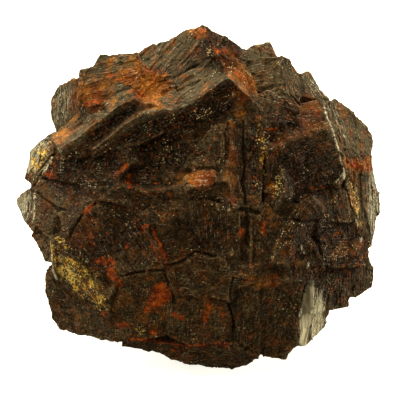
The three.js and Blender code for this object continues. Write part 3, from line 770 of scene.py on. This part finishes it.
def fine_nodule(packed, faces):
    """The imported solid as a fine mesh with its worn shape."""
    obj = bpy.data.objects.new("nodule", packed.data.copy())
    bpy.context.scene.collection.objects.link(obj)
    shape_of(obj, "WELD", merge_threshold=SAME_PLACE)
    voxel = VOXEL_MM * MM
    crisp = shape_of(obj, "REMESH", mode="VOXEL", voxel_size=voxel)
    move_to(crisp, points_of(crisp) + GROWN_OVER_MM * normals_of(crisp))
    grown = shape_of(obj, "REMESH", mode="VOXEL", voxel_size=voxel)
    move_to(grown, points_of(grown) - (GROWN_OVER_MM + SUNK_MM) * normals_of(grown))
    join_mesh(grown, packed.data)
    mesh = shape_of(obj, "REMESH", mode="VOXEL", voxel_size=voxel)
    carve(mesh, faces)
    triangles = 2 * len(mesh.polygons)
    if triangles > MOST_TRIANGLES:
        mesh = shape_of(obj, "DECIMATE", ratio=MOST_TRIANGLES / triangles)
    mesh.name = "nodule"
    return obj


# ---- what the skin is made of, vertex by vertex -----------------------------------------------

def add_values(mesh, name, values):
    layer = mesh.attributes.new(name, "FLOAT", "POINT")
    layer.data.foreach_set("value", values.astype(np.float32))


def add_vectors(mesh, name, vectors):
    layer = mesh.attributes.new(name, "FLOAT_VECTOR", "POINT")
    layer.data.foreach_set("vector", vectors.astype(np.float32).ravel())


def rust_values(skin, hollow, ragged, ragged_line):
    """Rust in its patches and lines, and here and there all over the nodule."""
    anywhere = smoothstep(0.28, 0.6, rough_noise(skin.points, size=6.0, seed=81))
    anywhere = anywhere * (RUST_ON_RISES + (1 - RUST_ON_RISES) * hollow)
    rust = skin.patches(RUST_PATCHES, ragged)
    rust = np.maximum(rust, skin.lines("rust", ragged_line))
    return np.maximum(rust, MOST_RUST * anywhere)


def pale_values(skin, ragged, ragged_line):
    """Pale skin and painted highlight, in patches and on pale lines that are broken here and there.
    """
    unbroken = smoothstep(-0.5, 0.1, noise(skin.points, size=1.5, seed=77))
    pale = skin.patches(PALE_AND_HIGHLIGHT_PATCHES, 0.5 * ragged)
    return np.maximum(pale, unbroken * skin.lines("pale", ragged_line))


def cover_values(skin, hollow, ragged):
    """Dark, ochre and amber, in patches on the broad face and crystal by crystal elsewhere."""
    number = skin.crystal
    shade = lattice(number, number * 5, number * 11, seed=7)
    shade = shade + 0.3 * rough_noise(skin.points, size=4.0, seed=95)
    elsewhere = 1 - skin.facing
    dark = MOST_DARK * elsewhere * smoothstep(0.45, 0.2, shade)
    ochre = elsewhere * smoothstep(0.6, 0.8, shade)
    stains = smoothstep(0.1, 0.4, rough_noise(skin.points, size=9.0, seed=97))
    amber = elsewhere * stains * (AMBER_ON_RISES + (1 - AMBER_ON_RISES) * hollow)
    return {
        # On the broad face the dark patches are painted shade.
        "dark": np.maximum(dark, skin.patches(SHADE_PATCHES, 0.5 * ragged)),
        # On the broad face the ochre patches are partly painted light.
        "ochre": np.maximum(ochre, skin.patches(OCHRE_AND_LIGHT_PATCHES, 0.5 * ragged)),
        "amber": np.maximum(amber, skin.patches(AMBER_PATCHES, ragged)),
    }


def paint(mesh, faces):
    """Stores at each vertex what its skin is like, for the material to read."""
    skin = Skin(mesh, faces, PAINTED_FACE)
    small_rise = skin.rise(rounds=6)
    broad_rise = skin.rise(rounds=60)
    hollow = smoothstep(0.1, 0.9, -broad_rise)
    small_hollow = smoothstep(0.02, 0.12, -small_rise)
    ragged = 0.8 * rough_noise(skin.points, size=1.6, seed=71)
    ragged_line = 0.1 * noise(skin.points, size=0.7, seed=73)
    values = {
        # Painted highlights along the raised edges.
        "edge_highlight": smoothstep(0.03, 0.16, small_rise),
        # The material darkens the hollows with painted shade.
        "hollow": np.maximum(hollow, 0.5 * small_hollow),
        "rust": rust_values(skin, hollow, ragged, ragged_line),
        "gold": skin.patches(GOLD_PATCHES, ragged),
        "sparkle": skin.patches(SPARK_PATCHES, 0.5 * ragged),
        "pale": pale_values(skin, ragged, ragged_line),
        "crack": skin.cracks(),
        "opened": skin.opened,
    }
    values.update(cover_values(skin, hollow, ragged))
    for name, by_vertex in values.items():
        add_values(mesh, name, by_vertex)
    add_vectors(mesh, "layers", np.stack([
        skin.along_mm,
        skin.across_mm,
        STREAKS_APART * skin.crystal,
    ], axis=1))


# ---- the material -----------------------------------------------------------------------------

def srgb(red, green, blue):
    """A colour given as 0 to 255 values, as the linear one that shaders use."""
    def linear(value):
        share = value / 255
        return share / 12.92 if share <= 0.04045 else ((share + 0.055) / 1.055) ** 2.4
    return (linear(red), linear(green), linear(blue), 1.0)


class Nodes:
    """Short names for making and joining a material's nodes."""

    def __init__(self, material):
        material.use_nodes = True
        self.tree = material.node_tree
        self.tree.nodes.clear()

    def add(self, kind, **settings):
        node = self.tree.nodes.new(kind)
        for name, value in settings.items():
            setattr(node, name, value)
        return node

    def join(self, source, target):
        self.tree.links.new(source, target)

    def put(self, socket, value):
        """Joins a socket to an output, or gives it a number or a colour of 0 to 255 values."""
        if isinstance(value, bpy.types.NodeSocket):
            self.join(value, socket)
        elif isinstance(value, tuple):
            socket.default_value = srgb(*value)
        else:
            socket.default_value = value

    def painted(self, name):
        return self.add("ShaderNodeAttribute", attribute_name=name).outputs["Fac"]

    def painted_vector(self, name):
        return self.add("ShaderNodeAttribute", attribute_name=name).outputs["Vector"]

    def noise(self, place, scale, detail, roughness):
        node = self.add("ShaderNodeTexNoise")
        self.join(place, node.inputs["Vector"])
        node.inputs["Scale"].default_value = scale
        node.inputs["Detail"].default_value = detail
        node.inputs["Roughness"].default_value = roughness
        return node.outputs["Fac"]

    def streaks(self, layers, per_mm, detail):
        """Noise drawn out along the layers."""
        return self.noise(self.stretch(layers, per_mm), 1.0, detail, roughness=0.6)

    def grains(self, place, scale):
        """Three separate values for each grain of a mosaic."""
        cells = self.add("ShaderNodeTexVoronoi")
        self.join(place, cells.inputs["Vector"])
        cells.inputs["Scale"].default_value = scale
        parts = self.add("ShaderNodeSeparateColor")
        self.join(cells.outputs["Color"], parts.inputs[0])
        return parts.outputs[0], parts.outputs[1], parts.outputs[2]

    def math(self, operation, a, b):
        node = self.add("ShaderNodeMath", operation=operation)
        self.put(node.inputs[0], a)
        self.put(node.inputs[1], b)
        return node.outputs[0]

    def plus(self, first, *others):
        """The sum of several values."""
        for other in others:
            first = self.math("ADD", first, other)
        return first

    def minus(self, first, second):
        return self.math("SUBTRACT", first, second)

    def times(self, first, second):
        return self.math("MULTIPLY", first, second)

    def larger(self, first, second):
        return self.math("MAXIMUM", first, second)

    def span(self, value, low, high, to_low=0.0, to_high=1.0):
        """Moves a value's span from low..high to to_low..to_high, and keeps it in there."""
        node = self.add("ShaderNodeMapRange")
        self.put(node.inputs["Value"], value)
        node.inputs["From Min"].default_value = low
        node.inputs["From Max"].default_value = high
        node.inputs["To Min"].default_value = to_low
        node.inputs["To Max"].default_value = to_high
        return node.outputs["Result"]

    def mix(self, share, first, second):
        node = self.add("ShaderNodeMix", data_type="RGBA")
        self.put(node.inputs["Factor"], share)
        self.put(node.inputs["A"], first)
        self.put(node.inputs["B"], second)
        return node.outputs["Result"]

    def stretch(self, place, scale):
        node = self.add("ShaderNodeVectorMath", operation="MULTIPLY")
        self.join(place, node.inputs[0])
        node.inputs[1].default_value = scale
        return node.outputs[0]


def skin_patterns(nodes):
    """The patterns and painted values that several parts of the skin share."""
    place = nodes.add("ShaderNodeTexCoord").outputs["Object"]
    mirrored = nodes.stretch(place, (-1.0, 1.0, 1.0))
    layers = nodes.painted_vector("layers")
    shade, tone, spark = nodes.grains(place, CRYSTAL_GRAINS)
    speckle = nodes.noise(place, SPECKLE, detail=2.0, roughness=0.7)
    streaks = nodes.streaks(layers, STREAKS, detail=3.0)
    speckled_grime = nodes.span(speckle, 0.42, 0.6, to_high=0.85)
    grainy_grime = nodes.span(shade, 0.4, 1.0, to_high=0.85)
    opened_streaks = nodes.span(streaks, 0.4, 0.62, to_high=0.7)
    return SimpleNamespace(
        place=place,
        shade=shade,
        tone=tone,
        spark=spark,
        speckle=speckle,
        streaks=streaks,
        fine_streaks=nodes.streaks(layers, FINE_STREAKS, detail=2.0),
        blotches=nodes.noise(place, BLOTCHES, detail=4.0, roughness=0.6),
        reddish=nodes.noise(place, RED_BLOTCHES, detail=3.0, roughness=0.6),
        olive=nodes.noise(mirrored, OLIVE_BLOTCHES, detail=3.0, roughness=0.6),
        rust_grain=nodes.noise(place, RUST_GRAIN, detail=4.0, roughness=0.65),
        # Dark skin crystal by crystal, and painted shade in the broad face's dark patches.
        dark_and_shade=nodes.painted("dark"),
        grime=nodes.larger(speckled_grime, grainy_grime),
        gaps=nodes.times(opened_streaks, nodes.painted("opened")),
    )


def brown_skin(nodes, shared):
    """Brown with reddish, olive and tan grains, dark gaps between its layers, and grime."""
    colour = nodes.mix(nodes.span(shared.blotches, 0.38, 0.62), DARK_BROWN, LIGHT_BROWN)
    colour = nodes.mix(nodes.span(shared.reddish, 0.52, 0.66, to_high=0.7), colour, REDDISH_BROWN)
    colour = nodes.mix(nodes.span(shared.olive, 0.44, 0.58, to_high=0.85), colour, OLIVE_BROWN)
    colour = nodes.mix(nodes.span(shared.tone, 0.8, 1.0, to_high=0.5), colour, TAN)
    colour = nodes.mix(shared.gaps, colour, BLACK)
    return nodes.mix(shared.grime, colour, BLACK)


def with_ochre_and_light(nodes, shared, colour):
    """Grey-brown faces: partly the skin's own ochre, partly painted light where the lights fall on
    them.
    """
    edge = nodes.plus(nodes.painted("ochre"), nodes.span(shared.blotches, 0.35, 0.65, -0.3, 0.3))
    ochre = nodes.mix(nodes.span(shared.reddish, 0.52, 0.66), GREY_OCHRE, ORANGE_OCHRE)
    grime = nodes.larger(shared.grime, nodes.times(shared.gaps, 1.1))
    ochre = nodes.mix(nodes.times(grime, 0.48), ochre, OCHRE_GRIME)
    return nodes.mix(nodes.span(edge, 0.2, 0.9, to_high=0.92), colour, ochre)


def with_dark(nodes, shared, colour):
    """Painted shade in the hollows, and nearly black faces with a faint glow of their grains."""
    hollow = nodes.span(nodes.painted("hollow"), 0.0, 1.0, to_high=0.7)
    colour = nodes.mix(hollow, colour, HOLLOW_SHADE)
    # Nearly black: painted shade in the broad face's dark patches, the skin's own dark tone on other
    # crystals.
    glow = nodes.mix(nodes.span(shared.spark, 0.35, 0.65), OLIVE_GLOW, RED_GLOW)
    dark = nodes.mix(nodes.span(shared.tone, 0.45, 1.0), COAL, glow)
    return nodes.mix(shared.dark_and_shade, colour, dark)


def with_amber(nodes, shared, colour):
    """Amber stains, grimy, and darker where the skin is dark and where shade is painted."""
    edge = nodes.plus(nodes.painted("amber"), nodes.span(shared.reddish, 0.35, 0.65, -0.3, 0.3))
    amber = nodes.mix(nodes.span(shared.blotches, 0.4, 0.6), DEEP_AMBER, BRIGHT_AMBER)
    # Painted shade in the dark patches darkens the amber too.
    dark_and_shade = nodes.span(shared.dark_and_shade, 0.0, 1.0, to_high=0.95)
    grime = nodes.larger(shared.grime, dark_and_shade)
    amber = nodes.mix(nodes.times(grime, 0.8), amber, AMBER_GRIME_AND_SHADE)
    return nodes.mix(nodes.span(edge, 0.15, 0.9, to_high=0.92), colour, amber)


def with_rust(nodes, shared, colour):
    """Rust with ragged, grainy edges."""
    edge = nodes.plus(nodes.painted("rust"), nodes.span(shared.rust_grain, 0.3, 0.7, -0.5, 0.5))
    edge = nodes.minus(edge, nodes.span(shared.shade, 0.0, 1.0, -0.25, 0.25))
    rust = nodes.mix(nodes.span(shared.rust_grain, 0.42, 0.66), RUST_RED, RUST_ORANGE)
    rust = nodes.mix(nodes.span(shared.tone, 0.5, 1.0, to_high=0.6), rust, RUST_BROWN)
    return nodes.mix(nodes.span(edge, 0.3, 1.0, to_high=0.9), colour, rust)


def with_edge_highlights(nodes, shared, colour):
    """Painted highlights on the raised edges, tan, fainter where the skin is dark or painted shade
    lies.
    """
    edge_highlight = nodes.times(nodes.painted("edge_highlight"), nodes.span(shared.speckle, 0.4, 0.6, 1.0, 0.1))
    edge_highlight = nodes.times(edge_highlight, nodes.span(shared.dark_and_shade, 0.0, 1.0, 0.4, 0.15))
    return nodes.mix(edge_highlight, colour, HIGHLIGHT_TAN)


def with_pale_and_highlights(nodes, shared, colour):
    """Pale rims and flanks, streaked along their layers: partly own colour, partly painted
    highlight.
    """
    streaked = nodes.span(shared.fine_streaks, 0.35, 0.65, -0.5, 0.25)
    edge = nodes.plus(nodes.painted("pale"), streaked)
    edge = nodes.minus(edge, nodes.span(shared.shade, 0.0, 1.0, -0.2, 0.2))
    pale = nodes.mix(nodes.span(shared.fine_streaks, 0.4, 0.6), CREAM, BRIGHT_CREAM)
    return nodes.mix(nodes.span(edge, 0.2, 0.8, to_high=0.9), colour, pale)


def brass(nodes, shared):
    """Fresh pyrite: how much of it shows, and its colour with painted highlights, brightest in the
    middle of a patch.
    """
    gold = nodes.painted("gold")
    edge = nodes.plus(gold, nodes.span(shared.rust_grain, 0.35, 0.65, -0.8, 0.6))
    edge = nodes.minus(edge, nodes.span(shared.shade, 0.0, 1.0, -0.5, 0.9))
    share = nodes.times(nodes.span(edge, 0.3, 0.6), nodes.span(gold, 0.0, 0.3))
    uneven = nodes.span(shared.rust_grain, 0.35, 0.65, -0.5, 0.5)
    # Painted highlights, strongest where the gold patches are strongest.
    gleam = nodes.plus(shared.tone, uneven, nodes.span(gold, 0.8, 1.3, to_high=0.5))
    colour = nodes.mix(nodes.span(gleam, 0.2, 0.5), DULL_BRASS, BRASS)
    colour = nodes.mix(nodes.span(gleam, 0.75, 1.0), colour, BRASS_HIGHLIGHT)
    return share, colour


def with_sparks(nodes, shared, colour):
    """Small bright glints, most of them in groups."""
    glint, _, _ = nodes.grains(shared.place, SPARK_GRAINS)
    groups = nodes.noise(shared.place, SPARK_BLOTCHES, detail=2.0, roughness=0.5)
    grouped = nodes.span(groups, 0.56, 0.72, to_high=0.08)
    placed = nodes.span(nodes.painted("sparkle"), 0.0, 1.0, to_high=0.09)
    sparks = nodes.span(nodes.plus(glint, grouped, placed), 1.0, 1.02)
    return nodes.mix(nodes.times(sparks, 0.85), colour, GLINT)


def skin_bump(nodes, shared):
    """The finest relief: speckles, grit and the streaks of the layers."""
    bump = nodes.add("ShaderNodeBump")
    bump.inputs["Strength"].default_value = 1.0
    bump.inputs["Distance"].default_value = BUMP_DEPTH
    grit = nodes.noise(shared.place, GRIT, detail=1.0, roughness=0.5)
    height = nodes.plus(
        nodes.times(shared.speckle, 0.5),
        nodes.times(grit, 0.25),
        nodes.times(shared.fine_streaks, 0.5),
        nodes.times(shared.streaks, 0.6),
    )
    nodes.join(height, bump.inputs["Height"])
    return bump.outputs["Normal"]


def skin_material():
    """Weathered pyrite: dark brown with a dull sheen, rust, brassy patches and pale painted edge
    highlights.
    """
    material = bpy.data.materials.new("weathered_pyrite")
    nodes = Nodes(material)
    shared = skin_patterns(nodes)
    colour = brown_skin(nodes, shared)
    for with_part in (with_ochre_and_light, with_dark, with_amber, with_rust, with_edge_highlights, with_pale_and_highlights):
        colour = with_part(nodes, shared, colour)
    brass_share, brass_colour = brass(nodes, shared)
    colour = nodes.mix(brass_share, colour, brass_colour)
    colour = with_sparks(nodes, shared, colour)
    # The carved cracks are darkened too: painted shade in them.
    colour = nodes.mix(nodes.times(nodes.painted("crack"), 0.7), colour, CRACK_SHADE)

    shader = nodes.add("ShaderNodeBsdfPrincipled")
    nodes.join(colour, shader.inputs["Base Color"])
    rough = nodes.span(shared.speckle, 0.3, 0.7, *SKIN_ROUGHNESS)
    rough = nodes.minus(rough, nodes.times(brass_share, BRASS_SMOOTHER))
    nodes.join(rough, shader.inputs["Roughness"])
    nodes.join(nodes.times(brass_share, BRASS_METALLIC), shader.inputs["Metallic"])
    shader.inputs["Specular IOR Level"].default_value = SPECULAR
    shader.inputs["Specular Tint"].default_value = SPECULAR_TINT
    nodes.join(skin_bump(nodes, shared), shader.inputs["Normal"])
    output = nodes.add("ShaderNodeOutputMaterial")
    nodes.join(shader.outputs[0], output.inputs["Surface"])
    return material


# ---- the studio -------------------------------------------------------------------------------

def floor_material():
    material = bpy.data.materials.new("pale_floor")
    nodes = Nodes(material)
    shader = nodes.add("ShaderNodeBsdfPrincipled")
    shader.inputs["Base Color"].default_value = FLOOR_COLOUR
    shader.inputs["Roughness"].default_value = FLOOR_ROUGHNESS
    shader.inputs["Emission Color"].default_value = FLOOR_GLOW
    shader.inputs["Emission Strength"].default_value = FLOOR_GLOW_STRENGTH
    output = nodes.add("ShaderNodeOutputMaterial")
    nodes.join(shader.outputs[0], output.inputs["Surface"])
    return material


def make_floor():
    """A pale floor for the camera, which throws no light back on the nodule."""
    mesh = bpy.data.meshes.new("floor")
    corners = [
        (-FLOOR_HALF, -FLOOR_HALF, 0),
        (FLOOR_HALF, -FLOOR_HALF, 0),
        (FLOOR_HALF, FLOOR_HALF, 0),
        (-FLOOR_HALF, FLOOR_HALF, 0),
    ]
    mesh.from_pydata(corners, [], [(0, 1, 2, 3)])
    mesh.materials.append(floor_material())
    floor = bpy.data.objects.new("floor", mesh)
    floor.location.z = -FLOOR_DROP
    floor.visible_diffuse = False
    floor.visible_glossy = False
    bpy.context.scene.collection.objects.link(floor)


def make_light(name, azimuth_deg, elevation_deg, size, power):
    """A square soft light that looks at the nodule. Azimuth 0 is in front, and 90 to the right."""
    turn = math.radians(azimuth_deg)
    lift = math.radians(elevation_deg)
    way = Vector((
        math.sin(turn) * math.cos(lift),
        -math.cos(turn) * math.cos(lift),
        math.sin(lift),
    ))
    data = bpy.data.lights.new(name, "AREA")
    data.shape = "SQUARE"
    data.size = size
    data.energy = power
    data.color = LIGHT_TINT
    light = bpy.data.objects.new(name, data)
    light.location = LIGHT_AIM + way * LIGHT_DISTANCE
    light.rotation_mode = "QUATERNION"
    light.rotation_quaternion = way.to_track_quat("Z", "Y")
    light.visible_camera = False
    bpy.context.scene.collection.objects.link(light)


def make_world():
    world = bpy.data.worlds.new("studio")
    world.use_nodes = True
    background = world.node_tree.nodes["Background"]
    background.inputs["Color"].default_value = WORLD_TINT
    background.inputs["Strength"].default_value = WORLD_STRENGTH
    bpy.context.scene.world = world


def make_studio():
    bpy.context.scene.view_settings.view_transform = "Standard"
    make_world()
    make_floor()
    for light in LIGHTS:
        make_light(*light)


def make_camera():
    """Looks along the broad face's w from far off, so that the frame shows 66.7 mm."""
    frame_mm = FRAME_PX / PX_PER_MM
    middle = FACE_MIDDLE + FACE_AXES.T @ FRAME_MIDDLE
    way = Vector(FACE_AXES[2])
    data = bpy.data.cameras.new("camera")
    data.sensor_width = SENSOR_MM
    data.lens = SENSOR_MM * CAMERA_DISTANCE / (frame_mm * MM)
    data.clip_start = NEAREST_SEEN
    data.clip_end = FARTHEST_SEEN
    camera = bpy.data.objects.new("camera", data)
    camera.location = Vector(middle * MM) + way * CAMERA_DISTANCE
    camera.rotation_mode = "QUATERNION"
    camera.rotation_quaternion = way.to_track_quat("Z", "Y")
    bpy.context.scene.collection.objects.link(camera)
    bpy.context.scene.camera = camera


# ---- the whole scene --------------------------------------------------------------------------


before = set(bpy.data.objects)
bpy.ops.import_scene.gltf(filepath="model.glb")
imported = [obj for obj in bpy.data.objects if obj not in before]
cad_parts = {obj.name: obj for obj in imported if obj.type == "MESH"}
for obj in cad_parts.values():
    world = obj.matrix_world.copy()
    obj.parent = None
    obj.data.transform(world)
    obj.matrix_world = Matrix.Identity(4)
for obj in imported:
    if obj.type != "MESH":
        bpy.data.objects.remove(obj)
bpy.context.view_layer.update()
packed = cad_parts["pyrite_cluster"]
crystal_faces = CrystalFaces(packed.data)
nodule = fine_nodule(packed, crystal_faces)
paint(nodule.data, crystal_faces)
nodule.data.materials.clear()
nodule.data.materials.append(skin_material())
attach(nodule, "root")
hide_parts("pyrite_cluster")
make_studio()
make_camera()
